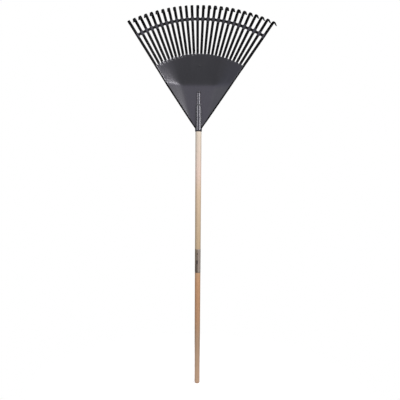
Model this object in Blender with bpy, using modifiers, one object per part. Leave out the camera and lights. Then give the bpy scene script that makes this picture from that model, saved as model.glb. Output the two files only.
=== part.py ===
"""Leaf rake: a fan-shaped plastic head with long spring tines on a tapered wooden handle.

Frame: +Z runs up the handle from its butt end, X is across the fan and -Y is the side that
faces the ground in use, towards which the wings fold and the hooks point. Metres.

The head of the real rake is one moulding. Here it is divided where its shape changes (socket,
web plate, edge ribs, brace, tines), with a hairline gap between neighbours.
"""

import math

import bmesh
import bpy
from mathutils import Vector

COLLECTION = "leaf_rake"
GAP = 0.0003  # between pieces that touch

# Handle: a 48 inch stick, thickest at its shoulder under the socket, with a tapered tenon that
# fills the socket.
HANDLE_LENGTH = 1.219
MOUTH_Z = 1.088  # where the handle enters the socket
BUTT_RADIUS = 0.0111
SHOULDER_RADIUS = 0.0131
SHOULDER_HEIGHT = 0.0050  # the bevel from the shoulder to the tenon
TENON_RADIUS = 0.0122
TENON_TIP_RADIUS = 0.0062
BUTT_FLAT_RADIUS = 0.0050
BUTT_DOME_HEIGHT = 0.0110

# Printed band wrapped round the handle.
BAND_BOTTOM_Z = 0.478
BAND_TOP_Z = 0.5795
BAND_THICKNESS = 0.0004

# Socket: a hollow cone with a slimmer nose, heights above its mouth.
WALL = 0.0016
COLLAR_HEIGHT = 0.0130
COLLAR_STEP = 0.0005
NOSE_START = 0.112
CONE_TOP_RADIUS = 0.0098
NOSE_STEP = 0.0010
CAP_START = 0.152
CAP_TOP = 0.167
CAP_START_RADIUS = 0.0072

# Screw through the back of the collar into the handle.
SCREW_HEIGHT = 0.0090
SCREW_HEAD_RADIUS = 0.0040
SCREW_HEAD_HEIGHT = 0.0024
SCREW_SHANK_RADIUS = 0.0019
SCREW_LENGTH = 0.0125

# Fan: radii run from the mouth's centre in the front view.
TINE_COUNT = 26
FAN_HALF_ANGLE = math.radians(34.4)
FAN_CROWDING = 0.015  # how much closer together the middle tines stand than the outer ones
WEB_BASE_HEIGHT = 0.030
ROOT_RADIUS = 0.3255
BRACE_RADIUS = 0.4613
HOOK_START = 0.5055  # where the middle tines start to bend into hooks
HOOK_GROWTH = 0.0095  # how much farther out the outermost ones do

WEB_THICKNESS = 0.0026
TINE_THICKNESS = 0.0030
TINE_ROOT_WIDTH = 0.0092
TINE_BEND_WIDTH = 0.0098
HOOK_END_WIDTH = 0.0066
BRACE_WIDTH = 0.0100
BRACE_THICKNESS = 0.0026
RIB_WIDTH = 0.0060
RIB_THICKNESS = 0.0070

# Hooks: a round bend, then a straight claw that points forwards and down on every tine alike.
BEND_RADIUS = 0.0080
CLAW_LENGTH = 0.0340
CLAW_DROP = math.radians(48.0)
TWIST_START = 0.4690

# Scoop: above the crease the head leans forwards, and its two wings fold forwards all the way.
CREASE_HEIGHT = 0.199
CREASE_SOFTNESS = 0.010
LEAN = math.radians(13.1)
WING_FOLD = math.radians(19.1)
FOLD_START = 0.0196  # half width of the flat middle at the mouth, and its growth with height
FOLD_SPREAD = 0.2665
FOLD_SOFTNESS = 0.010  # how round the fold is, and its growth above the crease
FOLD_OPENING = 0.49

ROUND_STEPS = 32

BLACK_PLASTIC = ((0.030, 0.030, 0.034), 0.38, 0.0)
WOOD = ((0.56, 0.34, 0.19), 0.42, 0.0)
BAND_PAPER = ((0.45, 0.38, 0.31), 0.50, 0.0)
ZINC_STEEL = ((0.62, 0.62, 0.60), 0.35, 1.0)


def clear_scene():
    for obj in list(bpy.data.objects):
        bpy.data.objects.remove(obj, do_unlink=True)


def new_collection(name):
    collection = bpy.data.collections.new(name)
    bpy.context.scene.collection.children.link(collection)
    return collection


def material(name, look):
    colour, roughness, metallic = look
    made = bpy.data.materials.new(name)
    made.use_nodes = True
    shader = made.node_tree.nodes["Principled BSDF"]
    shader.inputs["Base Color"].default_value = (*colour, 1.0)
    shader.inputs["Roughness"].default_value = roughness
    shader.inputs["Metallic"].default_value = metallic
    return made


def mesh_object(name, bm, look, collection):
    mesh = bpy.data.meshes.new(name)
    bm.to_mesh(mesh)
    bm.free()
    mesh.shade_smooth()
    mesh.set_sharp_from_angle(angle=math.radians(35))
    obj = bpy.data.objects.new(name, mesh)
    if look:
        mesh.materials.append(material(name, look))
    collection.objects.link(obj)
    return obj


def turned(name, profile, look, collection, closed=False):
    """A body of revolution about Z. The profile (radius, z) runs down its outer side."""
    bm = bmesh.new()
    verts = [bm.verts.new((radius, 0.0, z)) for radius, z in profile]
    for a, b in zip(verts, verts[1:] + verts[:1] if closed else verts[1:]):
        bm.edges.new((a, b))
    obj = mesh_object(name, bm, look, collection)
    screw = obj.modifiers.new("turn", "SCREW")
    screw.steps = screw.render_steps = ROUND_STEPS
    screw.use_merge_vertices = True
    screw.merge_threshold = 0.00001
    return obj


def cut(obj, cutter):
    boolean = obj.modifiers.new("cut " + cutter.name, "BOOLEAN")
    boolean.operation = "DIFFERENCE"
    boolean.object = cutter


def hide_cutter(obj):
    obj.hide_render = True
    obj.display_type = "WIRE"
    return obj


def ramp(distance, softness):
    """Zero well below distance 0 and equal to the distance well above it, with a round corner."""
    return 0.5 * (distance + math.hypot(distance, softness))


def forward(x, height):
    """How far the head's middle surface stands forwards of the handle's axis."""
    above = ramp(height - CREASE_HEIGHT, CREASE_SOFTNESS)
    flat = FOLD_START + FOLD_SPREAD * height
    softness = FOLD_SOFTNESS + FOLD_OPENING * above
    wing = ramp(abs(x) - flat, softness) - ramp(-flat, softness)
    return math.tan(LEAN) * above + math.tan(WING_FOLD) * wing


def on_head(x, height, back=0.0):
    """The point of the middle surface at x and a height above the mouth, set back along its normal."""
    step = 0.0005
    point = Vector((x, -forward(x, height), MOUTH_Z + height))
    slope_x = (forward(x + step, height) - forward(x - step, height)) / (2 * step)
    slope_z = (forward(x, height + step) - forward(x, height - step)) / (2 * step)
    return point + back * Vector((slope_x, 1.0, slope_z)).normalized()


def fan_point(angle, radius, aside=0.0, back=0.0):
    """The point at an angle from the handle and a radius from the mouth, and aside of that ray."""
    x = radius * math.sin(angle) + aside * math.cos(angle)
    height = radius * math.cos(angle) - aside * math.sin(angle)
    return on_head(x, height, back)


def sheet(name, columns, rows, place, thickness, collection):
    """A grid of columns by rows cells laid by place(s, t), s and t from 0 to 1, made solid."""
    bm = bmesh.new()
    bmesh.ops.create_grid(bm, x_segments=columns, y_segments=rows, size=0.5)
    for vert in bm.verts:
        vert.co = place(vert.co.x + 0.5, vert.co.y + 0.5)
    obj = mesh_object(name, bm, BLACK_PLASTIC, collection)
    solidify = obj.modifiers.new("wall", "SOLIDIFY")
    solidify.thickness = thickness
    solidify.offset = 0.0
    solidify.use_even_offset = True
    return obj


def mix(start, end, share):
    return start + (end - start) * share


def stations(start, end, count):
    return [mix(start, end, i / count) for i in range(count + 1)]


def handle_radius(z):
    return mix(BUTT_RADIUS, SHOULDER_RADIUS, z / MOUTH_Z)


def tenon_radius(height):
    return mix(TENON_RADIUS, TENON_TIP_RADIUS, height / (HANDLE_LENGTH - MOUTH_Z))


def make_handle(collection):
    dome = [
        (
            mix(BUTT_FLAT_RADIUS, handle_radius(BUTT_DOME_HEIGHT), math.cos(turn)),
            BUTT_DOME_HEIGHT * (1 - math.sin(turn)),
        )
        for turn in stations(0.0, math.pi / 2, 5)
    ]
    shoulder = MOUTH_Z - SHOULDER_HEIGHT
    stick = [(handle_radius(z), z) for z in reversed(stations(BUTT_DOME_HEIGHT, shoulder, 4))]
    tenon = [(0.0, HANDLE_LENGTH), (TENON_TIP_RADIUS, HANDLE_LENGTH), (TENON_RADIUS, MOUTH_Z)]
    return turned("handle", tenon + stick[:-1] + dome + [(0.0, 0.0)], WOOD, collection)


def make_band(collection):
    inner = [(handle_radius(z) + GAP, z) for z in (BAND_BOTTOM_Z, BAND_TOP_Z)]
    outer = [(radius + BAND_THICKNESS, z) for radius, z in reversed(inner)]
    return turned("wrap_label", outer + inner, BAND_PAPER, collection, closed=True)


def socket_outside(clearance=0.0):
    """The cone's outer profile above the collar, from its closed top down."""
    turns = stations(math.pi / 2, 0.0, 4)
    cap = [
        (
            (CAP_START_RADIUS + clearance) * math.cos(turn),
            MOUTH_Z + mix(CAP_START, CAP_TOP + clearance, math.sin(turn)),
        )
        for turn in turns[1:]
    ]
    step = [
        (CONE_TOP_RADIUS - NOSE_STEP + clearance, MOUTH_Z + NOSE_START + NOSE_STEP),
        (CONE_TOP_RADIUS + clearance, MOUTH_Z + NOSE_START),
    ]
    foot = (tenon_radius(COLLAR_HEIGHT) + GAP + WALL + clearance, MOUTH_Z + COLLAR_HEIGHT)
    return [(0.0, MOUTH_Z + CAP_TOP + clearance), *cap, *step, foot]


def make_socket(collection):
    tenon_height = HANDLE_LENGTH - MOUTH_Z
    outside = socket_outside() + [
        (collar_radius(), MOUTH_Z + COLLAR_HEIGHT - COLLAR_STEP),
        (collar_radius(), MOUTH_Z),
    ]
    bore = [
        (tenon_radius(0.0) + GAP, MOUTH_Z),
        (TENON_TIP_RADIUS + GAP, MOUTH_Z + tenon_height),
        (TENON_TIP_RADIUS - 4 * GAP, HANDLE_LENGTH + 6 * GAP),
        (0.0, HANDLE_LENGTH + 6 * GAP),
    ]
    return turned("socket", outside + bore, BLACK_PLASTIC, collection)


def collar_radius():
    return tenon_radius(0.0) + GAP + WALL + COLLAR_STEP


def make_screw(collection):
    """A pan-head screw that points forwards, from the back of the collar into the handle."""
    head = [
        (0.0, SCREW_HEAD_HEIGHT),
        (0.6 * SCREW_HEAD_RADIUS, 0.85 * SCREW_HEAD_HEIGHT),
        (SCREW_HEAD_RADIUS, 0.35 * SCREW_HEAD_HEIGHT),
        (SCREW_HEAD_RADIUS, 0.0),
    ]
    shank = [
        (SCREW_SHANK_RADIUS, 0.0),
        (SCREW_SHANK_RADIUS, 2 * SCREW_SHANK_RADIUS - SCREW_LENGTH),
        (0.0, -SCREW_LENGTH),
    ]
    screw = turned("fixing_screw", head + shank, ZINC_STEEL, collection)
    screw.rotation_euler.x = math.radians(-90)
    screw.location = (0.0, collar_radius() + GAP, MOUTH_Z + SCREW_HEIGHT)
    return screw


def make_screw_hole(cutters):
    radius = SCREW_SHANK_RADIUS + GAP
    bottom = collar_radius() - SCREW_LENGTH - GAP
    bm = bmesh.new()
    bmesh.ops.create_cone(
        bm, cap_ends=True, segments=16, radius1=radius, radius2=radius, depth=2 * SCREW_LENGTH
    )
    hole = mesh_object("screw_hole", bm, None, cutters)
    hole.rotation_euler.x = math.radians(-90)
    hole.location = (0.0, bottom + SCREW_LENGTH, MOUTH_Z + SCREW_HEIGHT)
    return hide_cutter(hole)


def make_web(collection, cutters):
    """The thin plate between the edge ribs, cut round the socket."""
    edge = 0.5 * TINE_ROOT_WIDTH - RIB_WIDTH - GAP

    def place(s, t):
        angle = mix(-FAN_HALF_ANGLE, FAN_HALF_ANGLE, s)
        radius = mix(WEB_BASE_HEIGHT / math.cos(angle), ROOT_RADIUS, t)
        return fan_point(angle, radius, aside=edge * (2 * s - 1))

    web = sheet("web_plate", 26, 14, place, WEB_THICKNESS, collection)
    base = MOUTH_Z + COLLAR_HEIGHT
    core = socket_outside(GAP) + [(0.0, base)]
    cut(web, hide_cutter(turned("socket_cutter", core, None, cutters)))
    return web


def make_edge_rib(name, side, collection):
    """The thick rim down one edge of the web, in line with the outermost tine."""
    outer = 0.5 * TINE_ROOT_WIDTH

    def place(s, t):
        radius = mix(WEB_BASE_HEIGHT, ROOT_RADIUS, t)
        return fan_point(side * FAN_HALF_ANGLE, radius, aside=side * (outer - RIB_WIDTH * s))

    return sheet(name, 1, 12, place, RIB_THICKNESS, collection)


def make_brace(collection):
    """The bar across the backs of the tines that keeps them apart."""
    back = 0.5 * (TINE_THICKNESS + BRACE_THICKNESS) + GAP
    half_width = 0.5 * TINE_BEND_WIDTH

    def place(s, t):
        angle = mix(-FAN_HALF_ANGLE, FAN_HALF_ANGLE, s)
        radius = BRACE_RADIUS + BRACE_WIDTH * (t - 0.5)
        return fan_point(angle, radius, aside=half_width * (2 * s - 1), back=back)

    return sheet("brace", 50, 1, place, BRACE_THICKNESS, collection)


def tine_angle(share):
    """A tine's angle from the handle, for its share -1 to 1 of the way across the fan."""
    return FAN_HALF_ANGLE * (share + FAN_CROWDING * (share**3 - share))


def tine_rows(angle):
    """(centre, unit vector across, width) at each row of a tine, from its root to the claw's end."""
    claw = Vector((0.0, -math.cos(CLAW_DROP), -math.sin(CLAW_DROP)))
    step = 0.0005
    hook_start = HOOK_START + HOOK_GROWTH * (angle / FAN_HALF_ANGLE) ** 2
    start = fan_point(angle, hook_start)
    along = (start - fan_point(angle, hook_start - step)).normalized()
    hinge = along.cross(claw).normalized()
    inward = hinge.cross(along)
    sweep = along.angle(claw)

    rows = []
    for radius in stations(ROOT_RADIUS + GAP, hook_start, 8):
        across = fan_point(angle, radius, step) - fan_point(angle, radius, -step)
        share = max(0.0, (radius - TWIST_START) / (hook_start - TWIST_START))
        width = mix(
            TINE_ROOT_WIDTH,
            TINE_BEND_WIDTH,
            (radius - ROOT_RADIUS) / (hook_start - ROOT_RADIUS),
        )
        rows.append((fan_point(angle, radius), across.normalized().lerp(hinge, share), width))
    for turn in stations(0.0, sweep, 5)[1:]:
        swung = math.sin(turn) * along + (1 - math.cos(turn)) * inward
        rows.append((start + BEND_RADIUS * swung, hinge, TINE_BEND_WIDTH))
    bend_end = rows[-1][0]
    for share in stations(0.0, 1.0, 2)[1:]:
        width = mix(TINE_BEND_WIDTH, HOOK_END_WIDTH, share)
        rows.append((bend_end + share * CLAW_LENGTH * claw, hinge, width))
    return rows


def make_tine(name, angle, collection):
    rows = tine_rows(angle)
    last = len(rows) - 1

    def place(s, t):
        centre, across, width = rows[round(t * last)]
        return centre + across.normalized() * width * (s - 0.5)

    return sheet(name, 1, last, place, TINE_THICKNESS, collection)


def main():
    clear_scene()
    parts = new_collection(COLLECTION)
    cutters = new_collection("cutters")
    handle = make_handle(parts)
    make_band(parts)
    socket = make_socket(parts)
    make_screw(parts)
    hole = make_screw_hole(cutters)
    cut(handle, hole)
    cut(socket, hole)
    make_web(parts, cutters)
    make_edge_rib("edge_rib_left", -1, parts)
    make_edge_rib("edge_rib_right", 1, parts)
    make_brace(parts)
    for i, share in enumerate(stations(-1.0, 1.0, TINE_COUNT - 1)):
        make_tine(f"tine_{i + 1:02d}", tine_angle(share), parts)


if __name__ == "__main__":
    main()
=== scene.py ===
"""Leaf rake: the finished look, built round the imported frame.

The head is one seamless moulding worked out as a sheet with a front and a back skin: web, edge
ribs, brace, tines and hooked claws share one grid of rows (up the fan) and columns (across it).
The socket, gate mark, handle, wrap label and screw are separate pieces. Everything is in metres
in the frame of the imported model: +Z up the handle, -Y towards the side that faces the ground.
"""

from __future__ import annotations

import logging
import math
from dataclasses import dataclass, field
from enum import Enum

import bpy
import numpy as np
from bpy.types import Material, Node, NodeSocket, NodeTree, Object
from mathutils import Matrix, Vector


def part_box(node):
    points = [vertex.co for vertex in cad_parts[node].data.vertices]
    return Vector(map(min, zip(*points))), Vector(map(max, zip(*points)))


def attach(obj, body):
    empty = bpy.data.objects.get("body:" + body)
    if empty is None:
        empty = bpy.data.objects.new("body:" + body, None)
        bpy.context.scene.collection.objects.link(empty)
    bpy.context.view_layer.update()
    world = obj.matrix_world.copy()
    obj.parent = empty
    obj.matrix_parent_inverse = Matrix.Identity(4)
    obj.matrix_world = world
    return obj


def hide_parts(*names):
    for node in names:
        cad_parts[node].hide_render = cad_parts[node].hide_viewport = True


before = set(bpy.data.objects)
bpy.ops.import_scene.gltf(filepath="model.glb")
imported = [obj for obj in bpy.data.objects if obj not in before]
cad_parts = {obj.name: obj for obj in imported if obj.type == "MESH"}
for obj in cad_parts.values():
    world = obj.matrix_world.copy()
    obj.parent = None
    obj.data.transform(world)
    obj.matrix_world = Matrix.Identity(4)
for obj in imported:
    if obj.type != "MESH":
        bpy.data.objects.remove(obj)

Array = np.ndarray
Triple = tuple[float, float, float]
LOG = logging.getLogger("leaf_rake")
BODY = "root"
STEP = 0.0005  # for slopes and directions from differences


class Skin(Enum):
    """The two faces of the moulding: which way its height runs from the middle surface."""

    FRONT = 1.0
    BACK = -1.0


class Slot(Enum):
    """The record's material slots."""

    PLASTIC = "black_plastic"
    WOOD = "wood"
    FILM = "label_film"
    STEEL = "zinc_steel"


# ---------------------------------------------------------------- small helpers


def smooth(value: Array, low: float, high: float) -> Array:
    """Zero at low and one at high, with level ends: 3t^2 - 2t^3 of the clipped share t."""
    t = np.clip((value - low) / (high - low), 0.0, 1.0)
    return t * t * (3.0 - 2.0 * t)


def round_off(distance: Array, power: float) -> Array:
    """A superellipse's height at a distance 0..1 from its middle: (1 - |d|^p)^(1/p)."""
    return np.maximum(1.0 - np.abs(distance) ** power, 0.0) ** (1.0 / power)


def unit(vectors: Array) -> Array:
    """Vectors scaled to length one along their last axis."""
    return vectors / np.linalg.norm(vectors, axis=-1, keepdims=True)


def make_mesh(
    name: str, points: Array, faces: list[Array], *looks: Material, angle: float | None = None
) -> Object:
    """Puts points and faces into a new object at the origin.

    Args:
        name: The piece's name.
        points: Corner places, n by 3.
        faces: One integer array for each number of sides, m by sides.
        looks: Its materials.
        angle: The edge angle above which shading stays sharp, or None for smooth all over.

    Returns:
        The linked object, shaded smooth.
    """
    mesh = bpy.data.meshes.new(name)
    mesh.vertices.add(len(points))
    mesh.vertices.foreach_set("co", np.ascontiguousarray(points, np.float32).ravel())
    corners = np.concatenate([f.ravel() for f in faces]).astype(np.int32)
    sides = np.concatenate([np.full(len(f), f.shape[1]) for f in faces])
    mesh.loops.add(len(corners))
    mesh.loops.foreach_set("vertex_index", corners)
    mesh.polygons.add(len(sides))
    starts = np.concatenate([[0], np.cumsum(sides)[:-1]]).astype(np.int32)
    mesh.polygons.foreach_set("loop_start", starts)
    mesh.update(calc_edges=True)
    mesh.validate()
    mesh.shade_smooth()
    if angle is not None:
        mesh.set_sharp_from_angle(angle=angle)
    for look in looks:
        mesh.materials.append(look)
    obj = bpy.data.objects.new(name, mesh)
    bpy.context.scene.collection.objects.link(obj)
    return obj


def revolve(profile: Array, segments: int) -> tuple[Array, list[Array]]:
    """Turns a profile about Z: each of its points (radius, height) becomes a ring.

    A point on the axis stays one point, and the faces next to it are triangles.

    Args:
        profile: Radius and height of each point, in order down the outside.
        segments: Points on each ring.

    Returns:
        The points and the faces.
    """
    turn = np.linspace(0.0, 2.0 * np.pi, segments, endpoint=False)
    radius, height = profile[:, 0], profile[:, 1]
    rings = np.stack(
        [
            radius[:, None] * np.cos(turn),
            radius[:, None] * np.sin(turn),
            np.broadcast_to(height[:, None], (len(profile), segments)),
        ],
        axis=-1,
    )
    index = np.arange(len(profile) * segments).reshape(len(profile), segments)
    polar = radius < 1e-9
    index[polar] = index[polar][:, :1]
    here, after = index, np.roll(index, -1, axis=1)
    quads = np.stack([here[:-1], here[1:], after[1:], after[:-1]], axis=-1)
    whole = ~(polar[:-1] | polar[1:])
    tops, ends = quads[polar[:-1] & ~polar[1:]], quads[~polar[:-1] & polar[1:]]
    faces = [
        quads[whole].reshape(-1, 4),
        np.concatenate([tops[..., :3].reshape(-1, 3), ends[..., [0, 1, 3]].reshape(-1, 3)]),
    ]
    return compact(rings.reshape(-1, 3), [f for f in faces if len(f)])


def compact(points: Array, faces: list[Array]) -> tuple[Array, list[Array]]:
    """Leaves out the points that no face uses, and renumbers the faces.

    Args:
        points: All points, n by 3.
        faces: Their faces, one array for each number of sides.

    Returns:
        The points that are used, and the faces with their new numbers.
    """
    used, number = np.unique(np.concatenate([f.ravel() for f in faces]), return_inverse=True)
    renumbered, start = [], 0
    for f in faces:
        renumbered.append(number[start : start + f.size].reshape(f.shape))
        start += f.size
    return points[used], renumbered


def rounded(corners: list[Triple], steps: int = 4) -> Array:
    """A profile whose corners are arcs.

    Each corner (x, y, size) becomes a quadratic curve that starts and ends at the given size from
    it along its two sides: (1-t)^2 a + 2t(1-t) corner + t^2 b. A size of 0 keeps the corner.

    Args:
        corners: The profile's corners, each with the size of its rounding.
        steps: Pieces of each curve.

    Returns:
        The profile's points, n by 2.
    """
    places = np.array([c[:2] for c in corners])
    t = np.linspace(0.0, 1.0, steps + 1)[:, None]
    line = [places[:1]]
    for before, here, after, size in zip(places, places[1:], places[2:], [c[2] for c in corners[1:]]):
        if not size:
            line.append(here[None])
            continue
        a, b = here + size * unit(before - here), here + size * unit(after - here)
        line.append((1 - t) ** 2 * a + 2 * t * (1 - t) * here + t**2 * b)
    return np.concatenate([*line, places[-1:]])


# ---------------------------------------------------------------- the head's shape


@dataclass(frozen=True)
class Scoop:
    """The head's middle surface: flat at the socket, leaning forwards above a crease, wings folded.

    Args:
        mouth_z: Height of the socket's mouth; heights below run from it.
        crease_height: Where the head starts to lean.
        crease_softness: How round that crease is.
        lean: The slope above it.
        wing_fold: The slope across the wings.
        fold_start: Half width of the flat middle at the mouth.
        fold_spread: How that half width grows with height.
        fold_softness: How round the fold is below the crease.
        fold_opening: How much rounder it gets above.
    """

    mouth_z: float
    crease_height: float = 0.199
    crease_softness: float = 0.008
    lean: float = math.radians(13.1)
    wing_fold: float = math.radians(19.1)
    fold_start: float = 0.0196
    fold_spread: float = 0.2665
    fold_softness: float = 0.007
    fold_opening: float = 0.49

    @staticmethod
    def ramp(distance: Array, softness: Array | float) -> Array:
        """Half of d + sqrt(d^2 + s^2): nothing well below 0, d well above, a round corner between."""
        return 0.5 * (distance + np.hypot(distance, softness))

    def forward(self, x: Array, height: Array) -> Array:
        """How far the surface stands forwards: the lean's ramp plus the wings' ramp.

        Args:
            x: Places across the head.
            height: Their heights above the mouth.

        Returns:
            The distance in front of the flat socket's plane.
        """
        above = self.ramp(height - self.crease_height, self.crease_softness)
        flat = self.fold_start + self.fold_spread * height
        softness = self.fold_softness + self.fold_opening * above
        wing = self.ramp(np.abs(x) - flat, softness) - self.ramp(-flat, softness)
        return math.tan(self.lean) * above + math.tan(self.wing_fold) * wing

    def point(self, plan: Array) -> Array:
        """The places over plan points (x, height)."""
        x, height = plan[..., 0], plan[..., 1]
        return np.stack([x, -self.forward(x, height), self.mouth_z + height], axis=-1)

    def front_normal(self, plan: Array) -> Array:
        """The unit normal towards the front: (-dF/dx, -1, -dF/dh), from central differences.

        Args:
            plan: Plan points (x, height).

        Returns:
            One normal for each.
        """
        x, height = plan[..., 0], plan[..., 1]
        across = (self.forward(x + STEP, height) - self.forward(x - STEP, height)) / (2 * STEP)
        up = (self.forward(x, height + STEP) - self.forward(x, height - STEP)) / (2 * STEP)
        return unit(np.stack([-across, -np.ones_like(across), -up], axis=-1))


@dataclass(frozen=True)
class Fan:
    """Where the tines run, in the front view. Radii run from the mouth's centre.

    Args:
        count: How many tines.
        half_angle: From the handle to the outermost tine.
        crowding: How much closer together the middle tines stand than the outer ones.
        root: The web's upper edge at the slots.
        brace: The brace's middle.
        bend: Where the middle tines start to bend into hooks.
        bend_growth: How much farther out the outermost ones do.
        root_width: A tine's width at its root.
        bend_width: Its width at the bend.
    """

    count: int = 26
    half_angle: float = math.radians(34.4)
    crowding: float = 0.015
    root: float = 0.3263
    brace: float = 0.4613
    bend: float = 0.5030
    bend_growth: float = 0.0125
    root_width: float = 0.0112
    bend_width: float = 0.0116

    @property
    def rays(self) -> Array:
        """The angle of each tine: half_angle (s + crowding (s^3 - s)) for s from -1 to 1."""
        share = np.linspace(-1.0, 1.0, self.count)
        return self.half_angle * (share + self.crowding * (share**3 - share))

    def bend_at(self, angle: Array) -> Array:
        """Where the tine at an angle starts to bend, growing with the angle's square."""
        return self.bend + self.bend_growth * (angle / self.half_angle) ** 2

    def width(self, radius: Array) -> Array:
        """A tine's width, straight from its root to its bend."""
        share = (radius - self.root) / (self.bend - self.root)
        return self.root_width + (self.bend_width - self.root_width) * share

    @staticmethod
    def plan(angle: Array, aside: Array, radius: Array) -> Array:
        """The plan point at a radius along a ray, and aside of that ray.

        Args:
            angle: The ray's angle from the handle.
            aside: The distance beside the ray.
            radius: The distance along it.

        Returns:
            The point (x, height).
        """
        x = radius * np.sin(angle) + aside * np.cos(angle)
        height = radius * np.cos(angle) - aside * np.sin(angle)
        return np.stack([x, height], axis=-1)


@dataclass(frozen=True)
class Columns:
    """The grid's columns: each lies between a place on one tine and a place on the next.

    Args:
        ray_a: Angle of the first tine.
        side_a: Place across it, -1 to 1.
        ray_b: Angle of the second tine, the same one for a column on a tine.
        side_b: Place across that.
        share: How far from the first to the second.
        tine: The tine's number, or -1 in a gap.
    """

    ray_a: Array
    side_a: Array
    ray_b: Array
    side_b: Array
    share: Array
    tine: Array

    @classmethod
    def of(cls, fan: Fan, sides: Array, outer_sides: Array, gap_shares: Array) -> Columns:
        """Lays out the columns from left to right.

        Args:
            fan: The fan.
            sides: Places across an ordinary tine.
            outer_sides: Places across the right-hand outermost one, mirrored on the left.
            gap_shares: Places across a gap, 0 to 1.

        Returns:
            The columns.
        """
        rows = []
        for i, ray in enumerate(fan.rays):
            across = {0: -outer_sides[::-1], fan.count - 1: outer_sides}.get(i, sides)
            same = np.full_like(across, ray)
            rows.append(np.stack([same, across, same, across, 0 * same, 0 * same + i]))
            if i < fan.count - 1:
                gap = np.ones_like(gap_shares)
                after = fan.rays[i + 1]
                rows.append(np.stack([ray * gap, gap, after * gap, -gap, gap_shares, -gap]))
        return cls(*np.concatenate(rows, axis=1))

    @property
    def gap_place(self) -> Array:
        """Place across its gap, -1 to 1, and 0 on a tine."""
        return np.where(self.tine < 0, 2.0 * self.share - 1.0, 0.0)


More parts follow.
